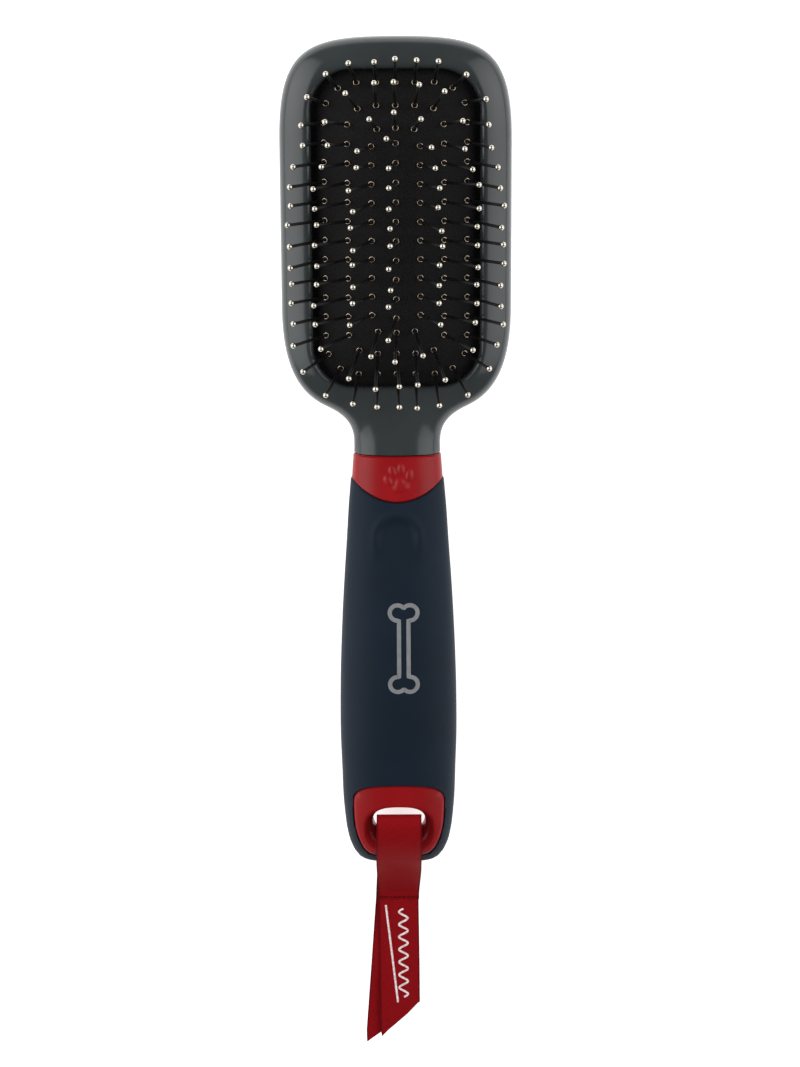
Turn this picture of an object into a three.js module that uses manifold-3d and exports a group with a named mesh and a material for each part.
// Bristle brush for pet grooming: a paddle head with a sprung rubber cushion full of steel pins, a
// soft-grip handle and a satin ribbon through an eyelet at the handle's end.
// Millimetres. The brush lies on its back: pins point up (+Z), the head is towards +Y, the handle
// towards -Y. The origin is under the middle of the head, on the face that the brush lies on.
import * as THREE from "three";
import { LoftGeometry } from "three/addons/geometries/LoftGeometry.js";
import { mergeVertices } from "three/addons/utils/BufferGeometryUtils.js";
import Module from "manifold-3d";

// ---- driving dimensions -------------------------------------------------------------------
const GAP = 0.3; // clearance kept between separate pieces
const HEAD_HALF_WIDTH = 32.1;
const HEAD_TOP_Y = 52.4;
const HEAD_THICKNESS = 17;
const HEAD_EDGE_ROUND = 5.5;
const NECK_Y = -63; // where the head's neck meets the collar
const NECK_HALF_WIDTH = 12.2;
const NECK_LOW_Z = 2.4;
const NECK_HIGH_Z = 16.4;
const PARTING_Z = 9.3; // the head's two shells meet here

const WINDOW_HALF = { x: 23.2, y: 43.6, corner: 11.5 };
const LIP_LOW_Z = 13.6; // underside of the window's lip
const LIP_HIGH_Z = 15.4; // top of the window's lip
const BACK_FLOOR_Z = 3;

const DOME_RADIUS = 23.2; // half width of the cushion's dome
const DOME_SPINE = 21.6; // half length of the straight crest along the dome
const DOME_RIM_Z = 12.7;
const DOME_RISE = 6.8;
const PAD_THICKNESS = 1.4;
const FLANGE = 1.06; // the cushion's flat edge, as a share of the dome's size

const PIN_LENGTH = 21; // from the cushion to the middle of the ball tip
const PIN_RADIUS = 0.45;
const BALL_RADIUS = 0.88;
const EYELET_RADIUS = 1.1;
const HOLE_RADIUS = 1.05; // square hole in the pad, corner to middle
const STRIP_HALF_WIDTH = 1.4;
const STRIP_THICKNESS = 1.1;

const COLLAR_SIDE_Y = -70; // lower edge of the collar at the handle's sides
const COLLAR_SCALLOP = 6.3; // how much further it reaches on the middle of each face
const GRIP_END_Y = -184.5;
const CORE_END_Y = -154;

const RIBBON_WIDTH = 12.4;
const RIBBON_THICKNESS = 0.45;
const STITCH_Y = -200.3;
const SWING_Y = -188.6; // the ribbon bends here when it is lifted

// Grip stations along the handle: y, half width, lowest z, highest z.
const GRIP_STATIONS = [
  [-77, 13.8, 1.9, 17.6],
  [-89, 14.6, 1.0, 18.8],
  [-102, 15.5, 0.4, 20.0],
  [-115, 16.2, 0.1, 20.9],
  [-129, 16.7, 0.0, 21.4],
  [-147, 16.8, 0.0, 21.6],
  [-156, 16.5, 0.3, 21.4],
  [-165, 16.2, 0.8, 21.0],
  [-170, 15.8, 1.3, 20.6],
  [-174.7, 15.2, 2.0, 20.0],
  [-179.3, 14.0, 3.1, 18.8],
  [-182.2, 12.4, 4.4, 17.4],
  [-183.8, 10.6, 5.8, 16.0],
  [GRIP_END_Y, 8.5, 8.0, 14.0],
];

// Core stations, the same way: a narrow tang through neck and collar, a wider spine in the grip.
const CORE_STATIONS = [
  [-50, 7, 6, 12.8],
  [-80, 7, 6, 13],
  [-92, 9.5, 4.6, 15.2],
  [-129, 12, 3.6, 17.8],
  [CORE_END_Y, 12, 3.8, 17.6],
];

// ---- small tools --------------------------------------------------------------------------
const wasm = await Module();
wasm.setup();

function solidFrom(geometry) {
  const bare = new THREE.BufferGeometry();
  bare.setAttribute("position", geometry.getAttribute("position"));
  bare.setIndex(geometry.index);
  const merged = mergeVertices(bare, 1e-4);
  const mesh = new wasm.Mesh({
    numProp: 3,
    vertProperties: new Float32Array(merged.attributes.position.array),
    triVerts: new Uint32Array(merged.index.array),
  });
  return new wasm.Manifold(mesh);
}

function geometryFrom(solid) {
  const mesh = solid.getMesh();
  const geometry = new THREE.BufferGeometry();
  geometry.setAttribute("position", new THREE.BufferAttribute(new Float32Array(mesh.vertProperties), 3));
  geometry.setIndex(new THREE.BufferAttribute(new Uint32Array(mesh.triVerts), 1));
  geometry.computeVertexNormals();
  return geometry;
}

const part = new THREE.Group();
part.name = "bristle_brush";

function addPiece(name, geometry, color, roughness, metalness) {
  const material = new THREE.MeshStandardMaterial({ color, roughness, metalness });
  material.name = name;
  const mesh = new THREE.Mesh(geometry, material);
  mesh.name = name;
  part.add(mesh);
}

const GREY = 0x4a5357;
const NAVY = 0x1c2531;
const RED = 0x9a1519;
const RUBBER = 0x141414;
const STEEL = 0x9a958c;
const SATIN = 0x82151b;

function box(x0, x1, y0, y1, z0, z1) {
  const geometry = new THREE.BoxGeometry(x1 - x0, y1 - y0, z1 - z0);
  geometry.translate((x0 + x1) / 2, (y0 + y1) / 2, (z0 + z1) / 2);
  return solidFrom(geometry);
}

// A flat shape in the XY plane made solid between two heights.
function prism(shape, z0, z1, curveSegments = 6) {
  const geometry = new THREE.ExtrudeGeometry(shape, { depth: z1 - z0, bevelEnabled: false, curveSegments });
  geometry.translate(0, 0, z0);
  return solidFrom(geometry);
}

// A flat shape in the YZ plane made solid between two x values.
function sidePrism(shape, x0, x1, curveSegments = 6) {
  const geometry = new THREE.ExtrudeGeometry(shape, { depth: x1 - x0, bevelEnabled: false, curveSegments });
  const turn = new THREE.Matrix4().makeBasis(
    new THREE.Vector3(0, 1, 0),
    new THREE.Vector3(0, 0, 1),
    new THREE.Vector3(1, 0, 0),
  );
  geometry.applyMatrix4(turn);
  geometry.translate(x0, 0, 0);
  return solidFrom(geometry);
}

function roundedRectangle(halfX, halfY, corner, centreY = 0) {
  const shape = new THREE.Shape();
  const x = halfX - corner;
  const y = halfY - corner;
  shape.absarc(x, centreY + y, corner, 0, Math.PI / 2, false);
  shape.absarc(-x, centreY + y, corner, Math.PI / 2, Math.PI, false);
  shape.absarc(-x, centreY - y, corner, Math.PI, 1.5 * Math.PI, false);
  shape.absarc(x, centreY - y, corner, 1.5 * Math.PI, 2 * Math.PI, false);
  shape.closePath();
  return shape;
}

// One oval ring across the handle, grown by the same amount on every side.
function ovalRing([y, halfWidth, low, high], grow = 0, squareness = 2.4, count = 20) {
  const ring = [];
  const middle = (low + high) / 2;
  const halfHeight = (high - low) / 2 + grow;
  for (let i = 0; i < count; i++) {
    const angle = ((i + 0.5) / count) * 2 * Math.PI;
    const c = Math.cos(angle);
    const s = Math.sin(angle);
    const x = Math.sign(c) * Math.abs(c) ** (2 / squareness) * (halfWidth + grow);
    const z = middle + Math.sign(s) * Math.abs(s) ** (2 / squareness) * halfHeight;
    ring.push(new THREE.Vector3(x, y, z));
  }
  return ring;
}

function loft(rings) {
  return solidFrom(new LoftGeometry(rings, { capStart: true, capEnd: true }));
}

// ---- head: a front shell with the cushion's window, and a back shell ------------------------
function headOutline() {
  const w = HEAD_HALF_WIDTH;
  const n = NECK_HALF_WIDTH;
  const shape = new THREE.Shape();
  shape.moveTo(0, HEAD_TOP_Y);
  shape.bezierCurveTo(-24, HEAD_TOP_Y, -w, 50, -w, 24);
  shape.lineTo(-w, -22);
  shape.bezierCurveTo(-w, -37, -28.5, -45.8, -20, -49.8);
  shape.bezierCurveTo(-15.5, -51.9, -n, -54.5, -n, -60);
  shape.lineTo(-n, NECK_Y);
  shape.lineTo(n, NECK_Y);
  shape.lineTo(n, -60);
  shape.bezierCurveTo(n, -54.5, 15.5, -51.9, 20, -49.8);
  shape.bezierCurveTo(28.5, -45.8, w, -37, w, -22);
  shape.lineTo(w, 24);
  shape.bezierCurveTo(w, 50, 24, HEAD_TOP_Y, 0, HEAD_TOP_Y);
  return shape;
}

// What is cut from under or over the neck, so that it thins smoothly towards the collar.
function neckCutter(faceZ, neckZ, outZ) {
  const shape = new THREE.Shape();
  shape.moveTo(-40, faceZ);
  shape.bezierCurveTo(-48, faceZ, -52, neckZ, -59, neckZ);
  shape.lineTo(NECK_Y - 8, neckZ);
  shape.lineTo(NECK_Y - 8, outZ);
  shape.lineTo(-40, outZ);
  return sidePrism(shape, -40, 40, 5);
}

function headBlock() {
  const geometry = new THREE.ExtrudeGeometry(headOutline(), {
    depth: HEAD_THICKNESS - 2 * HEAD_EDGE_ROUND,
    bevelEnabled: true,
    bevelThickness: HEAD_EDGE_ROUND,
    bevelSize: HEAD_EDGE_ROUND,
    bevelOffset: -HEAD_EDGE_ROUND,
    bevelSegments: 3,
    curveSegments: 8,
  });
  geometry.translate(0, 0, HEAD_EDGE_ROUND);
  return solidFrom(geometry)
    .subtract(neckCutter(-0.001, NECK_LOW_Z, -2))
    .subtract(neckCutter(HEAD_THICKNESS + 0.001, NECK_HIGH_Z, HEAD_THICKNESS + 2))
    .subtract(box(-40, 40, NECK_Y - 12, NECK_Y, -2, 20));
}

const tangRoom = loft(CORE_STATIONS.slice(0, 2).map((s) => ovalRing(s, GAP, 4)))
  .add(box(-7 - GAP, 7 + GAP, -50 - GAP - 3, -50 + GAP, 6 - GAP, 12.8 + GAP));
const head = headBlock().subtract(tangRoom);
const frontRoom = prism(roundedRectangle(26, 47.5, 13), PARTING_Z - 1, LIP_LOW_Z, 4);
const windowHole = prism(roundedRectangle(WINDOW_HALF.x, WINDOW_HALF.y, WINDOW_HALF.corner), 0, 20, 4);
const windowSlope = loft([
  rectangleRing(WINDOW_HALF.x, WINDOW_HALF.y, WINDOW_HALF.corner, LIP_HIGH_Z),
  rectangleRing(WINDOW_HALF.x + 3.4, WINDOW_HALF.y + 3.4, WINDOW_HALF.corner + 3, HEAD_THICKNESS + 0.2),
]);
const backRoom = prism(roundedRectangle(22.6, 43.8, 12), BACK_FLOOR_Z, PARTING_Z + 1, 4);

// A ring of points round a rounded rectangle at one height.
function rectangleRing(halfX, halfY, corner, z, centreY = 0) {
  const points = roundedRectangle(halfX, halfY, corner, centreY).getPoints(4);
  return points.slice(0, -1).map((p) => new THREE.Vector3(p.x, p.y, z));
}

const headFront = head
  .subtract(box(-40, 40, -80, 60, -2, PARTING_Z + GAP / 2))
  .subtract(frontRoom)
  .subtract(windowHole)
  .subtract(windowSlope);
addPiece("head_front_shell", geometryFrom(headFront), GREY, 0.18, 0);

const headBack = head
  .subtract(box(-40, 40, -80, 60, PARTING_Z - GAP / 2, 20))
  .subtract(backRoom);
addPiece("head_back_shell", geometryFrom(headBack), GREY, 0.2, 0);

// ---- cushion: a domed rubber pad, clamped under the lip by a ring ---------------------------
// How far out a point is on the dome: 0 on its crest, 1 at its rim.
function domeShare(x, y) {
  const beyond = Math.max(0, Math.abs(y) - DOME_SPINE);
  return (x ** 4 + beyond ** 4) ** 0.25 / DOME_RADIUS;
}

function domeHeight(x, y) {
  const share = Math.min(1, domeShare(x, y));
  return DOME_RIM_Z + DOME_RISE * Math.cos((share * Math.PI) / 2);
}

// The dome's upward direction, with its slope across and along the brush weighted by splay.
function domeNormal(x, y, splay = [1, 1]) {
  const step = 0.05;
  const slopeX = (domeHeight(x + step, y) - domeHeight(x - step, y)) / (2 * step);
  const slopeY = (domeHeight(x, y + step) - domeHeight(x, y - step)) / (2 * step);
  return new THREE.Vector3(-splay[0] * slopeX, -splay[1] * slopeY, 1).normalize();
}

// A closed ring round the dome at one share of its size.
function domeRing(share, height, count = 20) {
  const ring = [];
  for (let i = 0; i < count; i++) {
    const angle = ((i + 0.5) / count) * 2 * Math.PI;
    const c = Math.cos(angle);
    const s = Math.sin(angle);
    const radius = (share * DOME_RADIUS) / (c ** 4 + s ** 4) ** 0.25;
    const x = radius * c;
    const y = radius * s + Math.sign(s) * DOME_SPINE;
    ring.push(new THREE.Vector3(x, y, height(x, y)));
  }
  return ring;
}

const DOME_STEPS = [1, 0.84, 0.65, 0.45, 0.25, 0.03];
const padTop = (x, y) => domeHeight(x, y);
const padUnder = (x, y) => domeHeight(x, y) - PAD_THICKNESS;
const domeOutside = loft([
  domeRing(FLANGE, padUnder),
  domeRing(FLANGE, padTop),
  ...DOME_STEPS.map((share) => domeRing(share, padTop)),
]);
const domeInside = loft([
  domeRing(1, () => DOME_RIM_Z - 3),
  ...DOME_STEPS.map((share) => domeRing(share, padUnder)),
]);

const clampRing = loft([
  domeRing(FLANGE + 0.01, () => 9.75),
  domeRing(FLANGE + 0.01, () => DOME_RIM_Z - PAD_THICKNESS - GAP),
]).subtract(loft([domeRing(1, () => 9), domeRing(1, () => 12)]));
addPiece("cushion_ring", geometryFrom(clampRing), 0x20262a, 0.4, 0);

// ---- pins: rings of ball-tipped wires that stand on thin base strips under the pad ----------
// Evenly spaced points on one rounded rectangle of pins, from the middle of its head end round by
// the left side.
function ringPoints(halfX, halfY, corner, count) {
  const outline = roundedRectangle(halfX, halfY, corner);
  const around = outline.getSpacedPoints(2000).slice(0, -1);
  let start = 0;
  around.forEach((p, i) => {
    const best = around[start];
    if (p.y > halfY - 0.01 && Math.abs(p.x) < Math.abs(best.y > halfY - 0.01 ? best.x : 99)) start = i;
  });
  return (place) => {
    const index = Math.round(start + (place / count) * around.length);
    return around[((index % around.length) + around.length) % around.length];
  };
}

function pinSolid(x, y, splay) {
  const length = PIN_LENGTH;
  const root = -PAD_THICKNESS - GAP - STRIP_THICKNESS / 2;
  const profile = [
    [0, root],
    [PIN_RADIUS, root],
    [PIN_RADIUS, 0.35],
    [EYELET_RADIUS, 0.4],
    [PIN_RADIUS, 1.0],
    [PIN_RADIUS, length - BALL_RADIUS * 0.86],
    [BALL_RADIUS, length],
    [0, length + BALL_RADIUS],
  ].map(([r, h]) => new THREE.Vector2(r, h));
  return solidFrom(standing(new THREE.LatheGeometry(profile, 4), x, y, splay));
}

// Pins along the straight sides lean out fully; those towards the two ends lean out less.
function sideShare(y) {
  const towardsHead = THREE.MathUtils.smoothstep(y, 12, 25);
  const towardsHandle = THREE.MathUtils.smoothstep(-y, 22, 40);
  return 1 - 0.42 * towardsHead - 0.38 * towardsHandle;
}

// Stands a shape made along +Y on the dome, leaning with its slope.
function standing(geometry, x, y, splay) {
  const [across, along] = splay;
  const lean = domeNormal(x, y, [across * sideShare(y), along]);
  const turn = new THREE.Quaternion().setFromUnitVectors(new THREE.Vector3(0, 1, 0), lean);
  geometry.applyQuaternion(turn);
  geometry.translate(x, y, domeHeight(x, y));
  return geometry;
}

function holeCutter(x, y, splay) {
  const cutter = new THREE.CylinderGeometry(HOLE_RADIUS, HOLE_RADIUS, 5, 4);
  return solidFrom(standing(cutter, x, y, splay));
}

// The base strip along a row, tucked under the pad.
function stripSolid(pointAt, from, to) {
  const rings = [];
  const reach = 0.3;
  const stops = [from - reach];
  for (let i = from; i < to; i++) stops.push(i);
  stops.push(to, to + reach);
  for (const stop of stops) {
    const here = pointAt(stop);
    const ahead = pointAt(stop + 0.15);
    const behind = pointAt(stop - 0.15);
    const along = new THREE.Vector3(ahead.x - behind.x, ahead.y - behind.y, 0).normalize();
    const normal = domeNormal(here.x, here.y);
    const across = new THREE.Vector3().crossVectors(normal, along).normalize();
    const base = new THREE.Vector3(here.x, here.y, domeHeight(here.x, here.y));
    const upper = -PAD_THICKNESS - GAP - 0.1;
    const lower = upper - STRIP_THICKNESS;
    const corner = (side, depth) => base.clone()
      .addScaledVector(across, side * STRIP_HALF_WIDTH)
      .addScaledVector(normal, depth);
    rings.push([corner(-1, lower), corner(1, lower), corner(1, upper), corner(-1, upper)]);
  }
  return loft(rings);
}

// splay: how much of the dome's slope the pins lean by, across and along the brush.
const PIN_RINGS = [
  { name: "outer", halfX: 19.6, halfY: 40, corner: 9, count: 42, headRow: 3, tailRow: 2, splay: [1.04, 0.7] },
  { name: "second", halfX: 13.2, halfY: 33.9, corner: 6, count: 34, headRow: 2, tailRow: 1, splay: [1.22, 0.95] },
  { name: "third", halfX: 6.65, halfY: 27.9, corner: 3, count: 26, headRow: 1, tailRow: 1, splay: [1.28, 1.25] },
];

const holes = [];

function addPinRow(name, pointAt, from, to, splay) {
  let row = stripSolid(pointAt, from, to);
  for (let i = from; i <= to; i++) {
    const { x, y } = pointAt(i);
    row = row.add(pinSolid(x, y, splay));
    holes.push(holeCutter(x, y, splay));
  }
  addPiece(name, geometryFrom(row), STEEL, 0.3, 0.9);
}

for (const ring of PIN_RINGS) {
  const pointAt = ringPoints(ring.halfX, ring.halfY, ring.corner, ring.count);
  const { name, count, headRow, tailRow, splay } = ring;
  const middle = count / 2;
  addPinRow(`pins_${name}_head_row`, pointAt, -headRow, headRow, splay);
  addPinRow(`pins_${name}_left_row`, pointAt, headRow + 1, middle - tailRow - 1, splay);
  addPinRow(`pins_${name}_tail_row`, pointAt, middle - tailRow, middle + tailRow, splay);
  addPinRow(`pins_${name}_right_row`, pointAt, middle + tailRow + 1, count - headRow - 1, splay);
}

const CENTRE_COUNT = 10;
const CENTRE_PITCH = 5.3;
const CENTRE_SPLAY = [1, 1.9];
const centreAt = (place) => new THREE.Vector2(0, (place - (CENTRE_COUNT - 1) / 2) * CENTRE_PITCH);
addPinRow("pins_centre_row", centreAt, 0, CENTRE_COUNT - 1, CENTRE_SPLAY);

const pad = holes.reduce((solid, hole) => solid.subtract(hole), domeOutside.subtract(domeInside));
addPiece("cushion_pad", geometryFrom(pad), RUBBER, 0.85, 0);

// ---- handle: core, collar, soft sleeve and the eyelet insert --------------------------------
const core = loft(CORE_STATIONS.map((s) => ovalRing(s, 0, 4)));
const coreRoom = loft([
  ovalRing([NECK_Y + 2, 7, 6, 12.9], GAP, 4),
  ...CORE_STATIONS.slice(1, -1).map((s) => ovalRing(s, GAP, 4)),
  ovalRing([CORE_END_Y - GAP, 12, 3.8, 17.6], GAP, 4),
]);
addPiece("handle_core", geometryFrom(core), 0x3a4246, 0.5, 0);

// Everything on the head's side of the scalloped seam between collar and sleeve.
function headSideOfSeam(shift) {
  const seam = [];
  for (let x = -18; x <= 18; x += 1.5) {
    seam.push(new THREE.Vector2(x, COLLAR_SIDE_Y + shift - COLLAR_SCALLOP * (1 - (x / 13) ** 2)));
  }
  const shape = new THREE.Shape([...seam, new THREE.Vector2(18, -50), new THREE.Vector2(-18, -50)]);
  return prism(shape, -2, 25);
}

const collar = loft([
  ovalRing([NECK_Y - GAP, 12.6, 2.3, 16.6]),
  ovalRing([COLLAR_SIDE_Y, 12.9, 2.1, 17.0]),
  ovalRing([-80, 13.6, 1.7, 17.8]),
]).intersect(headSideOfSeam(GAP)).subtract(coreRoom);
addPiece("neck_collar", geometryFrom(collar), RED, 0.3, 0);

function insertOutline(grow) {
  const shape = new THREE.Shape();
  const side = 13.2 + grow;
  const top = -159 + grow;
  const end = -181.4 - grow;
  shape.moveTo(0, top);
  shape.bezierCurveTo(-7, top - 0.1, -side, top - 0.6, -side, top - 5.5);
  shape.bezierCurveTo(-side, -171, -12.8 - grow, -174, -11.4 - grow, -177.2);
  shape.bezierCurveTo(-10, end + 0.6, -8.4, end, -5.5, end);
  shape.lineTo(5.5, end);
  shape.bezierCurveTo(8.4, end, 10, end + 0.6, 11.4 + grow, -177.2);
  shape.bezierCurveTo(12.8 + grow, -174, side, -171, side, top - 5.5);
  shape.bezierCurveTo(side, top - 0.6, 7, top - 0.1, 0, top);
  return shape;
}

const sleeve = loft([
  ovalRing([NECK_Y, 12.9, 2.9, 16.4]),
  ovalRing([COLLAR_SIDE_Y, 13.2, 2.4, 17.0]),
  ...GRIP_STATIONS.map((s) => ovalRing(s)),
]).subtract(headSideOfSeam(0)).subtract(coreRoom).subtract(prism(insertOutline(GAP), -2, 25, 4));
addPiece("grip_sleeve", geometryFrom(sleeve), NAVY, 0.75, 0);

// The eyelet: a throat that flares towards both faces.
const EYELET_CENTRE_Y = -172;
const flare = (halfX, halfY, z, shift) => rectangleRing(halfX, halfY, halfY * 0.8, z, EYELET_CENTRE_Y + shift);
const eyelet = loft([
  flare(10.4, 7.9, -1, -0.8),
  flare(7.6, 6.2, 5.5, 0),
  flare(7.6, 6.2, 15.5, 0),
  flare(10.2, 7.6, 21.5, -0.8),
]);
const insertSkin = loft(
  GRIP_STATIONS.slice(5, -1).map(([y, w, low, high]) => ovalRing([y, w, low + 0.25, high - 0.25])),
);
const insert = prism(insertOutline(0), -2, 25, 4).intersect(insertSkin).subtract(eyelet);
addPiece("end_insert", geometryFrom(insert), RED, 0.3, 0);

// ---- ribbon: looped through the eyelet and stitched to itself -------------------------------
// A band of the ribbon's thickness along a path in the YZ plane.
function ribbonBand(path) {
  const over = [];
  const under = [];
  path.forEach((p, i) => {
    const before = path[Math.max(0, i - 1)];
    const after = path[Math.min(path.length - 1, i + 1)];
    const along = after.clone().sub(before).normalize();
    const side = new THREE.Vector2(-along.y, along.x).multiplyScalar(RIBBON_THICKNESS / 2);
    over.push(p.clone().add(side));
    under.push(p.clone().sub(side));
  });
  const shape = new THREE.Shape([...under, ...over.reverse()]);
  return sidePrism(shape, -RIBBON_WIDTH / 2, RIBBON_WIDTH / 2);
}

const spline = (points, count) =>
  new THREE.SplineCurve(points.map(([y, z]) => new THREE.Vector2(y, z))).getPoints(count);

// From the lower layer at the handle's end, up through the eyelet and back over the handle's end.
const wrapPath = spline(
  [[SWING_Y + 0.2, 0.7], [-184, 0.9], [-179.3, 1.9], [-175.6, 6.5], [-172.4, 13], [-169.2, 19.6],
    [-168.6, 22.3], [-171, 24.1], [-176, 23.2], [-181.5, 19.6], [-185.8, 15.0], [SWING_Y + 0.2, 11.7]],
  26,
);
addPiece("ribbon_wrap", geometryFrom(ribbonBand(wrapPath)), SATIN, 0.35, 0);

// The two layers between the handle's end and the stitch, joined where they are sewn.
const lowerLayer = spline([[SWING_Y - 0.2, 0.7], [-194, 0.5], [STITCH_Y, 0.35]], 4);
const upperLayer = spline([[SWING_Y - 0.2, 11.3], [-193.5, 6.3], [-197.5, 2.6], [STITCH_Y, 1.1]], 8);
const sewnEnd = box(-RIBBON_WIDTH / 2, RIBBON_WIDTH / 2, STITCH_Y - 0.9, STITCH_Y + 0.2, 0.13, 1.33);
const lowerLoop = ribbonBand(lowerLayer).add(ribbonBand(upperLayer)).add(sewnEnd);
addPiece("ribbon_lower_loop", geometryFrom(lowerLoop), SATIN, 0.35, 0);

const stitch = box(-5.4, 5.4, STITCH_Y - 0.5, STITCH_Y + 0.05, 1.33 + GAP, 1.33 + GAP + 0.35);
addPiece("ribbon_stitch", geometryFrom(stitch), 0x5a0c10, 0.8, 0);

// Tail outlines: the ends are cut on the slant with a small nick.
function tailSolid(outline, z) {
  const shape = new THREE.Shape(outline.map(([x, y]) => new THREE.Vector2(x, y)));
  return prism(shape, z, z + RIBBON_THICKNESS);
}

const TAIL_TOP_Y = STITCH_Y - 0.9 - GAP;
const backTail = tailSolid(
  [[-6.4, TAIL_TOP_Y], [-8.2, -222], [-9.9, -243.5], [-9.7, -247.6], [1.4, -239], [3.6, -222], [6, TAIL_TOP_Y]],
  0,
);
addPiece("ribbon_back_tail", geometryFrom(backTail), SATIN, 0.35, 0);

const frontTail = tailSolid(
  [[-6.3, TAIL_TOP_Y], [-6, -222], [-5.9, -243.3], [-5.3, -245.3], [3.9, -237.1], [6.3, -234.1], [6.4, -222],
    [6.1, TAIL_TOP_Y]],
  RIBBON_THICKNESS + GAP + 0.1,
);
addPiece("ribbon_front_tail", geometryFrom(frontTail), SATIN, 0.35, 0);

export default part;
